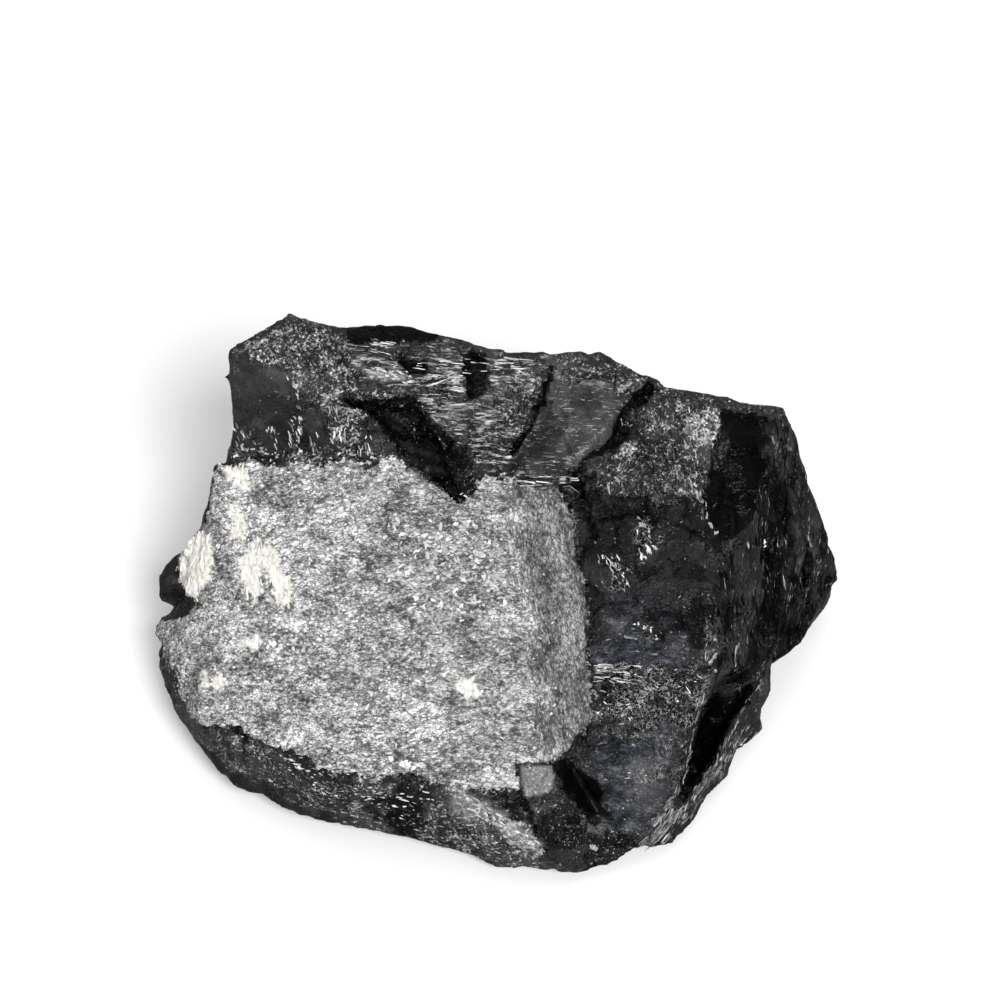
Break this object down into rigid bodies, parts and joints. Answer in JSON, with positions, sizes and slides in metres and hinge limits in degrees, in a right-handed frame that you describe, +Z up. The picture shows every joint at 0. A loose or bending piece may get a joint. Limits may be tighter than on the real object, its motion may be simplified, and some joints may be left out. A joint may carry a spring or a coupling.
{
  "type": "black tourmaline cluster",
  "caption": "Broken lump of intergrown black tourmaline with a broad sloping face of silvery mica and patches of cream feldspar, lying flat as a display mineral.",
  "frame": {"origin": "centre of the bounding box's bottom face, on the surface that the lump rests on", "axes": "+X along the lump's longest side, +Z up, and -Y towards the low front side with the mica face"},
  "size_m": [0.1246, 0.0864, 0.0603],
  "materials": {
    "tourmaline": "glossy black broken mineral with striated faces; the broad front slope carries the mica skin",
    "mica": "sparkling silver-grey flakes of mica, as a thin skin on the broad front slope",
    "feldspar": "cream-white fibrous feldspar, as small patches in the mica skin"
  },
  "bodies": {
    "root": {"tourmaline_rock": "tourmaline"}
  },
  "joints": []
}
